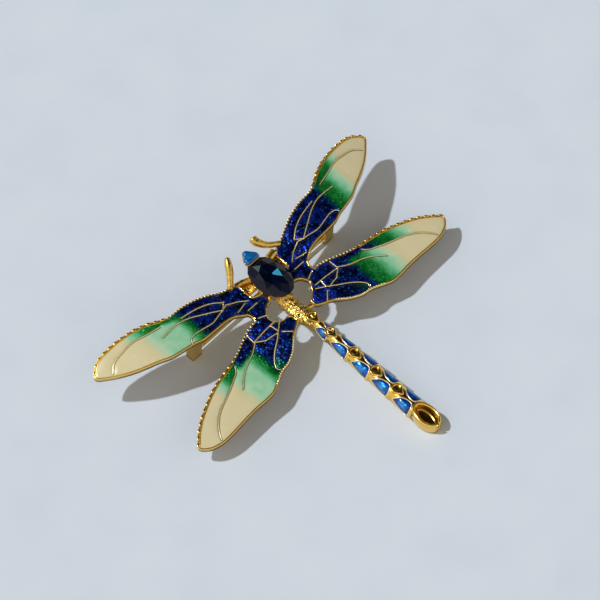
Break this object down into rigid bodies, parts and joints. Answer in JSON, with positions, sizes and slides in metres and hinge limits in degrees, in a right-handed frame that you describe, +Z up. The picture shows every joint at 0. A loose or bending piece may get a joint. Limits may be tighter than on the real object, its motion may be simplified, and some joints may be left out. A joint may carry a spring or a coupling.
{
  "type": "dragonfly brooch",
  "caption": "Dragonfly brooch with enamelled wings, an oval faceted stone, a tail with small cups and a plain bar pin behind.",
  "frame": {"origin": "middle of the brooch's box, on the surface that it lies on", "axes": "+X from the head to the tail, +Y out along the right wings, +Z up from the surface that it lies on"},
  "size_m": [0.0548, 0.0716, 0.0124],
  "materials": {
    "gold_plate": "polished gold plate over a cast zinc alloy",
    "gold_pin": "satin gold plate over brass",
    "enamel_forewing": "glossy enamel from deep blue over green to cream",
    "enamel_hindwing": "glossy enamel from deep blue over green to cream",
    "enamel_body": "glossy translucent blue enamel",
    "crystal": "cut and polished, foiled behind"
  },
  "bodies": {
    "root": {"frame": "gold_plate", "enamel_forewing_right": "enamel_forewing", "enamel_forewing_left": "enamel_forewing", "enamel_hindwing_right": "enamel_hindwing", "enamel_hindwing_left": "enamel_hindwing", "enamel_tail": "enamel_body", "enamel_head": "enamel_body", "oval_stone": "crystal", "pin_back": "gold_pin"}
  },
  "joints": []
}
